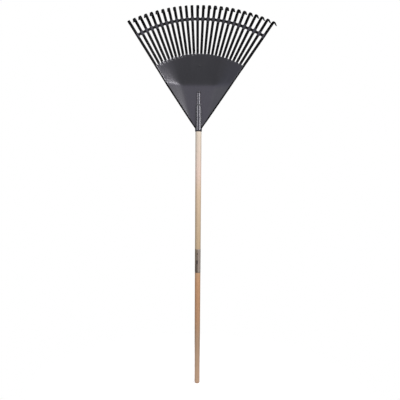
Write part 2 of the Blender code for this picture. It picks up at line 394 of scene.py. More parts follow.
@dataclass
class RakeHead:
    """The moulded head without its socket: web, edge ribs, brace, tines and claws in one skin.

    Args:
        scoop: The middle surface.
        fan: The tines' layout.
        web_half: Half the web's thickness.
        edge_half: Half the thickness left at a rounded edge.
        rib_width: Width of the rib down each slanting edge.
        rib_half: Half its depth.
        rib_trim: How far inside the outermost tines' outer sides the slanting edges run.
        slot_depth: How far the rounded end of a slot reaches into the web.
        slot_round: Width of the rounding at its rim.
        crown_run: How far below the slots' ends the tines' crowns rise out of the web.
        parting: How far below them the columns start and end to part into tines.
        rib_run: How far beyond the slots' ends the edge ribs fade out.
        socket_fillet: Size of the fillet where the web rises inside the socket's outside.
        brace_half_width: Half the brace's width midway between two tines.
        brace_fillet: How far its corners run along the tines.
        brace_half: Half its thickness.
        tine_front: Height of a tine's crown in front.
        tine_back: Depth of its ridge behind.
        bend_radius: Radius of the hook's bend.
        claw: Length of the straight claw after it.
        claw_drop: How far below level the claw points.
        claw_end: Width of the claw's end.
        turned_in: How far the first claw on the left turns towards the handle.
        twist_start: Where the tines start to turn into the claws' plane.
        nose: Height of the socket's nose, where the rows stand closer.
        slot_rows: Rows of the grid between the web and the brace.
    """

    scoop: Scoop
    fan: Fan = field(default_factory=Fan)
    web_half: float = 0.0013
    edge_half: float = 0.0007
    rib_width: float = 0.0060
    rib_half: float = 0.0034
    rib_trim: float = 0.0010
    slot_depth: float = 0.0030
    slot_round: float = 0.0012
    crown_run: float = 0.0140
    parting: tuple[float, float] = (0.040, 0.008)
    rib_run: float = 0.0450
    socket_fillet: float = 0.0012
    brace_half_width: float = 0.0049
    brace_fillet: float = 0.0042
    brace_half: float = 0.0015
    tine_front: float = 0.0016
    tine_back: float = 0.0021
    bend_radius: float = 0.0080
    claw: float = 0.0340
    claw_drop: float = math.radians(44.0)
    claw_end: float = 0.0095
    turned_in: float = 0.28
    twist_start: float = 0.4690
    nose: float = 0.1680
    slot_rows: int = 18

    def __post_init__(self) -> None:
        """Lays out the columns. The rib's foot is one of the outer tine's places."""
        self.top = self.fan.root + self.slot_depth
        foot = 1.0 - 2.0 * self.rib_width / self.fan.root_width
        sides = np.array([-1.0, -0.86, -0.5, 0.0, 0.5, 0.86, 1.0])
        outer = np.array([-1.0, 0.5 * (foot - 1.0), foot, foot + 0.2, 0.45, 0.86, 1.0])
        shares = 0.5 + 0.5 * np.sin(np.radians(np.linspace(-90.0, 90.0, 9)[1:-1]))
        self.rib_foot = foot
        self.columns = Columns.of(self.fan, sides, outer, shares)

    # -- places on the middle surface

    def tine_plan(self, radius: Array) -> Array:
        """Plan points where the tines stand apart: the mix of the two tines' own places.

        Args:
            radius: The grid's radii, rows by columns.

        Returns:
            Their plan points.
        """
        c, half = self.columns, 0.5 * self.fan.width(radius)
        a = self.fan.plan(c.ray_a, c.side_a * half, radius)
        b = self.fan.plan(c.ray_b, c.side_b * half, radius)
        return a + (b - a) * c.share[:, None]

    def web_plan(self, radius: Array) -> Array:
        """Plan points on the web: the columns draw together towards the mouth between the ribs.

        Args:
            radius: The grid's radii, rows by columns.

        Returns:
            Their plan points.
        """
        c, half = self.columns, 0.5 * self.fan.root_width
        angle_a = c.ray_a + c.side_a * half / self.top
        angle_b = c.ray_b + c.side_b * half / self.top
        angle = angle_a + (angle_b - angle_a) * c.share
        inner = half * self.rib_foot
        share = angle / (self.fan.half_angle + inner / self.top)
        on_rib = np.abs(share) > 1.0 + 1e-6
        trimmed = np.clip(c.side_a * half, self.rib_trim - half, half - self.rib_trim)
        aside = np.where(on_rib, trimmed, share * inner)
        ray = np.where(on_rib, c.ray_a, share * self.fan.half_angle)
        return self.fan.plan(ray, aside, radius)

    def hook_frames(self, angle: Array) -> dict[str, Array]:
        """The directions of each tine's hook.

        The tine's own direction and the claw's span a plane. Its normal is the hinge line, and
        the bend runs in that plane: start + r (sin(turn) along + (1 - cos(turn)) inward).

        Args:
            angle: The tines' angles.

        Returns:
            start, along, claw, hinge, inward and sweep for each tine.
        """
        none = np.zeros_like(angle)
        bend = self.fan.bend_at(angle)
        start = self.scoop.point(self.fan.plan(angle, none, bend))
        before = self.scoop.point(self.fan.plan(angle, none, bend - STEP))
        along = unit(start - before)
        forward, down = -math.cos(self.claw_drop), -math.sin(self.claw_drop)
        from_left = (angle + self.fan.half_angle) * (self.fan.count - 1) / (2 * self.fan.half_angle)
        aside = self.turned_in * np.exp(-from_left)
        claw = unit(np.stack([aside, forward + none, down + none], axis=-1))
        hinge = unit(np.cross(along, claw))
        inward = np.cross(hinge, along)
        sweep = np.arccos(np.clip((along * claw).sum(-1), -1.0, 1.0))
        return dict(start=start, along=along, claw=claw, hinge=hinge, inward=inward, sweep=sweep)

    # -- skins: height above and below the middle surface

    def tine_height(self, skin: Skin) -> Array:
        """A tine's section: a superellipse from its rounded edges up to its crown."""
        top, power = (self.tine_front, 3.0) if skin is Skin.FRONT else (self.tine_back, 2.2)
        return self.edge_half + (top - self.edge_half) * round_off(self.columns.side_a, power)

    def rib_height(self) -> Array:
        """The edge rib's section across the outermost columns, nothing elsewhere.

        Returns:
            One height for each column.
        """
        c = self.columns
        outermost = (c.tine == 0) | (c.tine == self.fan.count - 1)
        outward = c.side_a * np.sign(c.ray_a)
        place = (outward - 0.5 * (1.0 + self.rib_foot)) / (0.5 * (1.0 - self.rib_foot))
        height = self.edge_half + (self.rib_half - self.edge_half) * round_off(place, 4.0)
        return np.where(outermost & (outward > self.rib_foot + 1e-6), height, 0.0)

    def socket_relief(self, plan: Array, socket: Socket) -> Array:
        """How far the socket's round side stands out of the web: sqrt(r^2 - x^2), below it negative.

        Args:
            plan: Plan points (x, height).
            socket: The socket.

        Returns:
            The height of the sheet inside the socket, negative beside it.
        """
        covered = socket.outer_radius(plan[..., 1]) - socket.overlap
        inside = np.sign(covered) * covered**2 - plan[..., 0] ** 2
        return np.sign(inside) * np.sqrt(np.abs(inside))

    def web_height(self, radius: Array, plan: Array, skin: Skin, socket: Socket) -> Array:
        """The web's half thickness: thin at the slots' ends, ribbed at its edges and filleted to
        the socket by a soft maximum, (a + b + sqrt((a - b)^2 + k^2)) / 2.

        Args:
            radius: The web's radii, rows by columns.
            plan: Their plan points.
            skin: The face that is wanted.
            socket: The socket that the web flows into.

        Returns:
            The distance of that face from the middle surface.
        """
        c = self.columns
        width = 0.5 * self.fan.root_width
        beside = np.where(c.tine < 0, 0.0, (1.0 - np.abs(c.side_a)) * width)
        to_slot = np.hypot(np.maximum(self.top - self.dip() - radius, 0.0), beside)
        thinned = 1 - smooth(to_slot, 0, self.slot_round)
        flat = self.web_half - (self.web_half - self.edge_half) * thinned
        crown = np.where(c.tine < 0, flat, self.tine_height(skin))
        height = flat + (crown - flat) * smooth(radius, self.top - self.crown_run, self.top)
        height = np.maximum(height, self.rib_height())
        relief = self.socket_relief(plan, socket)
        merged = 0.5 * (height + relief + np.hypot(height - relief, self.socket_fillet))
        return np.where(plan[..., 1] < socket.top + 0.02, merged, height)

    def dip(self) -> Array:
        """How far the slot's rounded end reaches below its corners, column by column."""
        gap = self.columns.tine < 0
        return np.where(gap, self.slot_depth * round_off(self.columns.gap_place, 2.6), 0.0)

    # -- rows

    def web_rows(self) -> Array:
        """Radius of each column on the web's rows, drawn down to the slots' ends at the top.

        Returns:
            The radii, rows by columns.
        """
        top, nose, past_crease = self.top, self.nose, self.scoop.crease_height + 0.050
        stops = [0.012, nose - 0.006, nose + 0.010, past_crease, top - self.crown_run]
        runs = [
            np.linspace(low, high, count)[1:]
            for low, high, count in zip(stops, stops[1:], (28, 12, 16, 14))
        ]
        near_top = top - np.array([0.0105, 0.0080, 0.0058, 0.0040, 0.0026, 0.0015, 0.0007, 0.0])
        radius = np.concatenate([stops[:1], *runs, near_top])
        pull = smooth(radius, top - self.crown_run - 0.002, top)
        return radius[:, None] - pull[:, None] * self.dip()

    def brace_rows(self) -> tuple[Array, Array]:
        """Radius of each column on the brace's rows, and their place across it, -1 to 1.

        Returns:
            The radii, rows by columns, and one place for each row.
        """
        c = self.columns
        place = np.array([-1.0, -0.9, -0.72, -0.4, 0.0, 0.4, 0.72, 0.9, 1.0])
        curve = np.where(c.tine < 0, 1.0 - round_off(c.gap_place, 2.2), 1.0)
        half = self.brace_half_width + self.brace_fillet * curve
        return self.fan.brace + place[:, None] * half, place

    def skins(self, socket: Socket) -> tuple[Array, Array, Array]:
        """Works out both skins of the whole grid.

        Args:
            socket: The socket that the web flows into.

        Returns:
            The front skin, the back skin (rows by columns by 3 each), and for each pair of rows
            whether the gaps between the tines are filled.
        """
        c, fan = self.columns, self.fan
        none = np.zeros((1, len(c.tine)))
        web = self.web_rows()
        brace, brace_place = self.brace_rows()
        top, below_brace = self.top, fan.brace - self.brace_half_width - self.brace_fillet
        slots = np.linspace(top, below_brace, self.slot_rows + 2)[1:-1, None] + none
        radius = np.concatenate([web, slots, brace])
        on_web = np.arange(len(radius)) < len(web)
        blend = smooth(radius, *(top - p for p in self.parting))[..., None]
        web_plan, tine_plan = self.web_plan(radius), self.tine_plan(radius)
        plan = web_plan + (tine_plan - web_plan) * np.where(on_web[:, None, None], blend, 1.0)
        middle, normal = self.scoop.point(plan), self.scoop.front_normal(plan)

        tip_middle, tip_normal, slim = self.hooks()
        rib = self.rib_height() * (1.0 - smooth(slots, top, top + self.rib_run))
        bar = round_off(brace_place, 2.5)[:, None]
        bar = self.edge_half + (self.brace_half - self.edge_half) * bar
        skins = []
        for skin in Skin:
            tine = self.tine_height(skin)
            web_part = self.web_height(web, plan[: len(web)], skin, socket)
            slot_part = np.maximum(tine + none * slots, rib)
            bar_part = np.where(c.tine < 0, bar, np.maximum(bar, tine))
            height = np.concatenate([web_part, slot_part, bar_part])[..., None]
            sheet = middle + skin.value * normal * height
            tips = tip_middle + skin.value * tip_normal * (slim * tine)[..., None]
            skins.append(np.concatenate([sheet, tips]))
        filled = np.zeros(len(skins[0]) - 1, bool)
        filled[: len(web) - 1] = True
        filled[len(web) + len(slots) : len(radius) - 1] = True
        return *skins, filled

    def hooks(self) -> tuple[Array, Array, Array]:
        """The rows beyond the brace: the free tine ends, their bends and their claws.

        Returns:
            Middle places and normals, rows by columns by 3, and each row's share of a tine's
            thickness.
        """
        c, fan = self.columns, self.fan
        f = self.hook_frames(c.ray_a)
        first = fan.brace + self.brace_half_width + self.brace_fillet
        bend_start = fan.bend_at(c.ray_a)
        radius = first + (bend_start - first) * np.linspace(0.0, 1.0, 9)[1:, None]
        centre = self.scoop.point(fan.plan(c.ray_a, 0 * radius, radius))
        ahead = self.scoop.point(fan.plan(c.ray_a, 0 * radius, radius + STEP))
        right = self.scoop.point(fan.plan(c.ray_a, STEP + 0 * radius, radius))
        turned = smooth(radius, self.twist_start, bend_start)[..., None]
        across = unit(unit(right - centre) * (1 - turned) + f["hinge"] * turned)
        along = unit(ahead - centre)
        width = fan.width(radius)

        turn = f["sweep"] * np.linspace(0.0, 1.0, 13)[1:, None]
        swung = np.sin(turn)[..., None] * f["along"] + (1 - np.cos(turn))[..., None] * f["inward"]
        bend = f["start"] + self.bend_radius * swung
        bend_along = np.cos(turn)[..., None] * f["along"] + np.sin(turn)[..., None] * f["inward"]

        round_end = 0.5 * self.claw_end
        tip = np.radians([0.0, 25.0, 45.0, 62.0, 76.0, 87.0])
        down = np.concatenate(
            [np.linspace(0.0, self.claw - round_end, 9)[1:-1], self.claw - round_end * (1 - np.sin(tip))]
        )[:, None]
        claw = bend[-1] + down[..., None] * f["claw"]
        shrink = np.concatenate([np.ones(7), np.cos(tip)])[:, None]
        bend_width = fan.width(bend_start)
        taper = bend_width + (self.claw_end - bend_width) * down / self.claw

        hinge = np.broadcast_to(f["hinge"], bend.shape)
        claw_hinge = np.broadcast_to(f["hinge"], claw.shape)
        across = np.concatenate([across, hinge, claw_hinge])
        along = np.concatenate([along, bend_along, np.broadcast_to(f["claw"], claw.shape)])
        centre = np.concatenate([centre, bend, claw])
        width = np.concatenate([width, bend_width + 0 * turn, taper * shrink])
        slim = np.concatenate(
            [np.ones(len(radius) + len(turn)), 1.0 - 0.25 * down[:, 0] / self.claw]
        )
        slim[len(radius) + len(turn) :] *= 0.25 + 0.75 * shrink[:, 0]

        middle = centre + across * (c.side_a * 0.5 * width)[..., None]
        return middle, unit(np.cross(across, along)), slim[:, None]

    # -- the mesh

    def build(self, socket: Socket, web_look: Material, tine_look: Material) -> Object:
        """Sews the two skins together and dresses the head.

        A cell of the grid is solid where its two columns are on one tine, or its rows' gaps are
        filled. Each solid cell gives a front and a back face, and each side of it that has no
        solid neighbour gives a wall between the skins.

        Args:
            socket: The socket that the web flows into.
            web_look: The web's finish.
            tine_look: A darker, barely reflective copy of the same plastic for the ribs, the tines and the
                brace: painted shade.

        Returns:
            The head.
        """
        front, back, filled = self.skins(socket)
        rows, columns = front.shape[:2]
        solid = filled[:, None] | self.on_tine()
        f = np.arange(rows * columns).reshape(rows, columns)
        ring = np.stack([f[:-1, :-1], f[:-1, 1:], f[1:, 1:], f[1:, :-1]], axis=-1)
        faces = [ring[solid], (ring[solid] + rows * columns)[:, ::-1]]

        padded = np.pad(solid, 1)
        open_sides = {
            (0, 1): ~padded[:-2, 1:-1],
            (1, 2): ~padded[1:-1, 2:],
            (2, 3): ~padded[2:, 1:-1],
            (3, 0): ~padded[1:-1, :-2],
        }
        for (start, end), is_open in open_sides.items():
            cells = ring[solid & is_open]
            a, e = cells[:, start], cells[:, end]
            faces.append(np.stack([e, a, a + rows * columns, e + rows * columns], axis=-1))
        points = np.concatenate([front.reshape(-1, 3), back.reshape(-1, 3)])
        points, faces = compact(points, [np.concatenate(faces)])
        head = make_mesh("rake_head", points, faces, web_look, tine_look)
        # Cells on the ribs, tines and brace take the darker copy of the plastic: painted shade.
        slim = self.slim_cells(rows - 1)
        cells = [solid, solid, *(solid & is_open for is_open in open_sides.values())]
        looks = np.concatenate([slim[c] for c in cells]).astype(np.int32)
        head.data.polygons.foreach_set("material_index", looks)
        return head

    def slim_cells(self, rows: int) -> Array:
        """Marks the cells that get the painted-shade copy of the plastic: the ribs, the tines and the
        brace, but not where those two cross.

        Args:
            rows: Rows of cells.

        Returns:
            True or false for each cell, rows by columns.
        """
        row = np.arange(rows)[:, None]
        web_end = len(self.web_rows()) - 1
        brace_start = web_end + self.slot_rows + 1
        brace_end = brace_start + len(self.brace_rows()[1]) - 1
        crossing = self.on_tine() & (row >= brace_start) & (row < brace_end)
        rib = np.minimum(self.rib_height()[:-1], self.rib_height()[1:]) > 0.0
        return ((row >= web_end) & ~crossing) | rib

    def on_tine(self) -> Array:
        """True for each cell whose two columns are on one tine."""
        tine = self.columns.tine
        return (tine[:-1] == tine[1:]) & (tine[:-1] >= 0)


@dataclass(frozen=True)
class Socket:
    """The hollow cone that takes the handle, with its collar, step and rounded nose.

    Args:
        mouth_z: Height of its open end.
        collar_radius: Outside of the collar.
        collar_height: Height of the collar.
        lip_height: Height of the bevel round the collar's open end.
        lip_radius: Outside of that end.
        foot_radius: Outside of the cone just above the collar.
        step_height: Where the tube ends and the slimmer nose begins.
        step_radius: Outside of the tube there.
        nose_start_radius: Outside of the nose there.
        nose_height: Where the nose's straight part ends.
        nose_radius: Outside of the nose there.
        bead_radius: Outside of the bead that ends the nose.
        top: The nose's flat top.
        bore_mouth: The bore's radius at the mouth.
        bore_tip: Its radius at its end.
        bore_depth: Its length.
        overlap: How deep the web's sheet lies under the socket's outside.
    """

    mouth_z: float
    collar_radius: float = 0.0149
    collar_height: float = 0.0125
    lip_height: float = 0.0044
    lip_radius: float = 0.0140
    foot_radius: float = 0.0142
    step_height: float = 0.1120
    step_radius: float = 0.0126
    nose_start_radius: float = 0.0093
    nose_height: float = 0.1665
    nose_radius: float = 0.0085
    bead_radius: float = 0.0096
    top: float = 0.1712
    bore_mouth: float = 0.0126
    bore_tip: float = 0.0066
    bore_depth: float = 0.1330
    overlap: float = 0.0032

    def outer_radius(self, height: Array) -> Array:
        """The outside above the collar: straight tube, short step, straight nose, nothing above.

        Args:
            height: Heights above the mouth.

        Returns:
            The radius at each.
        """
        stops = [0.0, self.collar_height, self.step_height, self.step_height + 0.004, self.nose_height]
        radii = [self.foot_radius + 0.0003, self.foot_radius, self.step_radius]
        radii += [self.nose_start_radius, self.nose_radius]
        return np.where(height > self.top, 0.0, np.interp(height, stops, radii))

    def profile(self) -> Array:
        """The section from the nose's flat top down the outside, round the mouth and up the bore.

        Returns:
            Radius and height of each point.
        """
        section = rounded(
            [
                (0.0, self.top, 0.0),
                (self.bead_radius - 0.0004, self.top, 0.0005),
                (self.bead_radius, self.top - 0.0012, 0.0006),
                (self.nose_radius, self.nose_height, 0.0004),
                (self.nose_start_radius, self.step_height + 0.0030, 0.0012),
                (self.step_radius, self.step_height, 0.0012),
                (self.foot_radius, self.collar_height + 0.0008, 0.0008),
                (self.collar_radius, self.collar_height - 0.0004, 0.0008),
                (self.collar_radius, self.lip_height, 0.0012),
                (self.lip_radius, -0.0010, 0.0004),
                (self.bore_mouth + 0.0006, -0.0010, 0.0003),
                (self.bore_mouth, 0.0035, 0.0010),
                (self.bore_tip, self.bore_depth, 0.0),
                (0.0, self.bore_depth, 0.0),
            ]
        )
        section[:, 1] += self.mouth_z
        return section

    def build(self, look: Material) -> Object:
        """Turns the section into the socket."""
        return make_mesh("head_socket", *revolve(self.profile(), 96), look, angle=math.radians(50))


@dataclass(frozen=True)
class GateMark:
    """The small round stub where the plastic entered the mould, on the front of the web.

    Args:
        scoop: The surface that it stands on.
        height: Its place above the mouth.
        radius: Its foot.
        rise: How far it stands out of the middle surface.
    """

    scoop: Scoop
    height: float = 0.2790
    radius: float = 0.0048
    rise: float = 0.0056

    def build(self, look: Material) -> Object:
        """A half-round dome with a small dimple at its top.

        Args:
            look: Its finish.

        Returns:
            The mark.
        """
        share = np.sin(np.linspace(0.0, 0.5 * np.pi, 14))
        lift = self.rise * np.sqrt(1.0 - share**2) - 0.0003 * np.exp(-((share / 0.2) ** 4))
        points, faces = revolve(np.stack([share * self.radius, lift], axis=1), 40)
        plan = np.array([0.0, self.height])
        normal = self.scoop.front_normal(plan)
        right = unit(np.cross(np.array([0.0, 0.0, 1.0]), normal))
        frame_axes = np.stack([right, np.cross(normal, right), normal])
        points = self.scoop.point(plan) + points @ frame_axes
        return make_mesh("gate_mark", points, faces, look)


# ---------------------------------------------------------------- handle, label, screw


@dataclass(frozen=True)
class Handle:
    """The turned stick: a domed butt, a long slight taper and the tenon inside the socket.

    Args:
        low: The butt's height.
        mouth_z: Where the stick enters the socket.
        top: The tenon's end.
        butt_radius: Radius at the butt.
        shoulder_radius: Radius of the shoulder under the socket.
        shoulder: Height of the bevel from the shoulder to the tenon.
        tenon_radius: Radius of the tenon at the mouth.
        tenon_tip: Radius of the tenon's end.
        flat: Radius of the small flat at the butt.
        dome: Height of the butt's dome.
    """

    low: float
    mouth_z: float
    top: float
    butt_radius: float = 0.0111
    shoulder_radius: float = 0.0131
    shoulder: float = 0.0050
    tenon_radius: float = 0.0122
    tenon_tip: float = 0.0062
    flat: float = 0.0050
    dome: float = 0.0110

    def radius_at(self, z: Array) -> Array:
        """The stick's radius, straight from the butt to the shoulder."""
        return self.butt_radius + (self.shoulder_radius - self.butt_radius) * z / self.mouth_z

    def profile(self) -> Array:
        """The section from the tenon's end down to the middle of the butt.

        Returns:
            Radius and height of each point.
        """
        stick = np.linspace(self.mouth_z - self.shoulder, self.low + self.dome, 80)
        turn = np.linspace(0.0, np.pi / 2, 12)[1:]
        side = self.radius_at(self.low + self.dome)
        return np.concatenate(
            [
                [[0.0, self.top], [self.tenon_tip - 0.0005, self.top], [self.tenon_tip, self.top - 0.0005]],
                [[self.tenon_radius, self.mouth_z], [self.tenon_radius + 0.0005, self.mouth_z - 0.0012]],
                np.stack([self.radius_at(stick), stick], axis=1),
                np.stack(
                    [
                        self.flat + (side - self.flat) * np.cos(turn),
                        self.low + self.dome * (1.0 - np.sin(turn)),
                    ],
                    axis=1,
                ),
                [[0.0, self.low]],
            ]
        )

    def build(self, look: Material) -> Object:
        """Turns the section into the stick."""
        return make_mesh("wooden_handle", *revolve(self.profile(), 96), look, angle=math.radians(50))


@dataclass(frozen=True)
class WrapLabel:
    """The printed film wrapped once round the stick, its end lapped over its start at the back.

    Args:
        handle: The stick under it.
        low: Its lower edge.
        high: Its upper edge.
        film: The film's thickness.
        lap: The angle by which it overlaps itself.
    """

    handle: Handle
    low: float
    high: float
    film: float = 0.00012
    lap: float = 0.35

    def build(self, look: Material) -> Object:
        """A spiral sheet: its radius grows by two films in one turn, so the lap lies on top.

        Args:
            look: Its finish.

        Returns:
            The label.
        """
        turns = np.linspace(0.0, 2.0 * np.pi + self.lap, 110)
        z = np.linspace(self.low, self.high, 26)[:, None]
        lifted = self.film * (1.0 + 1.6 * smooth(turns, 2.0 * np.pi - 0.35, 2.0 * np.pi))
        radius = self.handle.radius_at(z) + lifted
        angle = turns + 0.5 * np.pi
        places = np.stack([radius * np.cos(angle), radius * np.sin(angle), z + 0 * turns], axis=-1)
        index = np.arange(places[..., 0].size).reshape(places.shape[:2])
        quads = np.stack([index[:-1, :-1], index[:-1, 1:], index[1:, 1:], index[1:, :-1]], axis=-1)
        label = make_mesh("wrap_label_film", places.reshape(-1, 3), [quads.reshape(-1, 4)], look)
        self.add_uv(label, turns, z)
        solid = label.modifiers.new("film", "SOLIDIFY")
        solid.thickness = self.film
        solid.offset = 1.0
        return label

    def add_uv(self, label: Object, turns: Array, z: Array) -> None:
        """Unrolls the film: u is the turn from the front, in turns, and v runs up from 0 to 1.

        Args:
            label: The film.
            turns: The angle of each of its columns.
            z: The height of each of its rows.
        """
        u = np.broadcast_to((turns - np.pi) / (2.0 * np.pi), (len(z), len(turns)))
        v = np.broadcast_to((z - self.low) / (self.high - self.low), u.shape)
        flat = np.stack([u, v], axis=-1).reshape(-1, 2)
        corners = np.empty(len(label.data.loops), np.int32)
        label.data.loops.foreach_get("vertex_index", corners)
        layer = label.data.uv_layers.new(name="unrolled")
        layer.data.foreach_set("uv", flat[corners].astype(np.float32).ravel())


@dataclass(frozen=True)
class FixingScrew:
    """The pan-head screw at the back of the collar, with a cross recess.

    Args:
        seat: The place of the head's underside, on its axis.
        head_radius: Radius of the head.
        head_height: Height of the head.
        shank_radius: Radius of the shank.
        length: Length under the head.
    """

    seat: Array
    head_radius: float = 0.0040
    head_height: float = 0.0024
    shank_radius: float = 0.0019
    length: float = 0.0125

    def build(self, look: Material) -> Object:
        """A turned head whose top is pressed in where |x| or |y| is under the slot's half width.

        Args:
            look: Its finish.

        Returns:
            The screw.
        """
        share = np.linspace(0.0, 1.0, 26)
        top = self.head_height * (0.42 + 0.58 * round_off(share, 2.4))
        shank = rounded(
            [
                (self.head_radius, 0.42 * self.head_height, 0.0),
                (self.head_radius, 0.0, 0.0004),
                (self.shank_radius, 0.0, 0.0),
                (self.shank_radius, -self.length + 0.0035, 0.0),
                (0.0, -self.length, 0.0),
            ]
        )
        profile = np.concatenate([np.stack([share * self.head_radius, top], axis=1), shank[1:]])
        points, faces = revolve(profile, 96)
        x, y, z = points.T
        reach = np.hypot(x, y) / self.head_radius
        blade = np.minimum(np.abs(x), np.abs(y))
        pressed = (1 - smooth(blade, 0.00035, 0.0006)) * (1 - smooth(reach, 0.45, 0.62))
        z = z - 0.0013 * pressed * (z > 0.3 * self.head_height)
        points = self.seat + np.stack([x, z, -y], axis=1)
        return make_mesh("collar_screw", points, faces, look, angle=math.radians(40))


# ---------------------------------------------------------------- finishes


@dataclass
class Nodes:
    """A short way to write a node tree: each call makes a node, sets it and links its inputs."""

    tree: NodeTree

    def give(self, target: NodeSocket, value: object) -> None:
        """Links a value to an input, or stores it there. A colour may leave out its alpha.

        Args:
            target: The input.
            value: A node's output, a number, a vector or a colour.
        """
        if isinstance(value, NodeSocket):
            self.tree.links.new(value, target)
        elif target.type == "RGBA":
            target.default_value = (*value, 1.0)[:4]
        else:
            target.default_value = value

    def add(self, kind: str, inputs: dict | None = None, **settings: object) -> Node:
        """Makes a node.

        Args:
            kind: The node's type, without ShaderNode.
            inputs: Value or socket for each input, by name or number.
            settings: Attributes of the node.

        Returns:
            The node.
        """
        node = self.tree.nodes.new("ShaderNode" + kind)
        for key, value in settings.items():
            setattr(node, key, value)
        for key, value in (inputs or {}).items():
            self.give(node.inputs[key], value)
        return node

    def math(self, operation: str, *values: object) -> NodeSocket:
        """A Math node's result."""
        return self.add("Math", dict(enumerate(values)), operation=operation).outputs[0]

    def times(self, a: object, b: object) -> NodeSocket:
        """The product of two values."""
        return self.math("MULTIPLY", a, b)

    def plus(self, a: object, b: object) -> NodeSocket:
        """The sum of two values."""
        return self.math("ADD", a, b)

    def minus(self, a: object, b: object) -> NodeSocket:
        """The difference of two values."""
        return self.math("SUBTRACT", a, b)

    def hypot(self, a: object, b: object) -> NodeSocket:
        """The length of a step of a by b."""
        return self.math("SQRT", self.plus(self.math("POWER", a, 2.0), self.math("POWER", b, 2.0)))

    def fade(self, value: object, low: float, high: float, start: float = 0, end: float = 1) -> NodeSocket:
        """A smooth step from start at low to end at high.

        Args:
            value: What runs.
            low: Where the result is `start`.
            high: Where it is `end`.
            start: The result at and below `low`.
            end: The result at and above `high`.

        Returns:
            The value between the two.
        """
        limits = {"From Min": low, "From Max": high, "To Min": start, "To Max": end}
        node = self.add("MapRange", {"Value": value, **limits}, interpolation_type="SMOOTHSTEP")
        return node.outputs["Result"]

    def blend(self, share: object, a: object, b: object) -> NodeSocket:
        """The mix of two colours."""
        return self.add("Mix", {0: share, 6: a, 7: b}, data_type="RGBA").outputs[2]

    def ramp(self, value: object, stops: tuple[tuple[float, Triple], ...]) -> NodeSocket:
        """A colour ramp through the stops.

        Args:
            value: Where on the ramp, 0 to 1.
            stops: Place and colour of each stop.

        Returns:
            The colour.
        """
        node = self.add("ValToRGB", {"Fac": value})
        elements = node.color_ramp.elements
        while len(elements) < len(stops):
            elements.new(0.5)
        for element, (place, colour) in zip(elements, stops):
            element.position = place
            element.color = (*colour, 1.0)
        return node.outputs["Color"]

    def noise(self, vector: object, scale: float, detail: float = 3.0, rough: float = 0.5) -> NodeSocket:
        """A noise texture's value."""
        inputs = {"Vector": vector, "Scale": scale, "Detail": detail, "Roughness": rough}
        return self.add("TexNoise", inputs).outputs["Fac"]

    @property
    def place(self) -> NodeSocket:
        """Object coordinates."""
        return self.add("TexCoord").outputs["Object"]

    def parts(self, vector: NodeSocket) -> bpy.types.NodeOutputs:
        """A vector's X, Y and Z."""
        return self.add("SeparateXYZ", {0: vector}).outputs

    def grain(
        self, scale: Triple, fineness: float = 1.0, detail: float = 3.0, rough: float = 0.5
    ) -> NodeSocket:
        """Noise in object coordinates, stretched by a scale for each axis."""
        stretched = self.add("Mapping", {"Vector": self.place, "Scale": scale}).outputs["Vector"]
        return self.noise(stretched, fineness, detail, rough)

    def group(self, tree: NodeTree, **inputs: object) -> NodeSocket:
        """Places a node group with its own values.

        Args:
            tree: The group.
            inputs: Its values, by name, with _ for a space.

        Returns:
            The group's result.
        """
        node = self.add("Group")
        node.node_tree = tree
        for key, value in inputs.items():
            self.give(node.inputs[key.replace("_", " ").capitalize()], value)
        return node.outputs[0]

    @classmethod
    def start_group(cls, name: str, output: str, **inputs: float) -> tuple[Nodes, bpy.types.NodeOutputs]:
        """Starts a shader node group that gives one number.

        Args:
            name: The group's name.
            output: Its result's name.
            inputs: Each input's default, by name, with _ for a space.

        Returns:
            The group's node writer and its inputs' values.
        """
        tree = bpy.data.node_groups.new(name, "ShaderNodeTree")
        for key, default in inputs.items():
            label = key.replace("_", " ").capitalize()
            made = tree.interface.new_socket(label, in_out="INPUT", socket_type="NodeSocketFloat")
            made.default_value = default
        tree.interface.new_socket(output, in_out="OUTPUT", socket_type="NodeSocketFloat")
        given = tree.nodes.new("NodeGroupInput").outputs
        tree.nodes.new("NodeGroupOutput").name = "Out"
        return cls(tree), given

    def close(self, result: NodeSocket) -> NodeTree:
        """Gives the group its result, and returns the group."""
        self.give(self.tree.nodes["Out"].inputs[0], result)
        return self.tree


class Effects:
    """The node groups that several finishes share."""

    def __init__(self) -> None:
        """Builds each group once."""
        self.relief = self.build_relief()
        self.dust = self.build_dust()
        self.mottle = self.build_mottle()

    @staticmethod
    def build_relief() -> NodeTree:
        """Fine relief: a height of two noises, at the fine scale and at a fifth of it.

        Returns:
            The group.
        """
        n, given = Nodes.start_group("fine_relief", "Height", fine_scale=900.0, share=0.5)
        place = n.place
        fine = n.noise(place, given["Fine scale"], 2.0)
        coarse = n.noise(place, n.times(given["Fine scale"], 0.2), 3.0)
        return n.close(n.plus(n.times(fine, given["Share"]), coarse))

    @staticmethod
    def build_dust() -> NodeTree:
        """Dust: a mask of patchy noise, stronger on faces that look up.

        Returns:
            The group.
        """
        n, given = Nodes.start_group("dust", "Mask", amount=0.3, patch_scale=30.0)
        patch = n.fade(n.noise(n.place, given["Patch scale"], 5.0, 0.6), 0.42, 0.72)
        facing = n.parts(n.add("NewGeometry").outputs["Normal"])["Z"]
        up = n.fade(facing, -0.2, 1.0, 0.25, 1.0)
        return n.close(n.times(n.times(patch, up), given["Amount"]))

    @staticmethod
    def build_mottle() -> NodeTree:
        """Uneven gloss: a roughness that wanders round its middle value.

        Returns:
            The group.
        """
        n, given = Nodes.start_group("uneven_gloss", "Roughness", middle=0.4, spread=0.1, scale=12.0)
        wander = n.minus(n.noise(n.place, given["Scale"], 4.0, 0.6), 0.5)
        return n.close(n.plus(given["Middle"], n.times(wander, given["Spread"])))


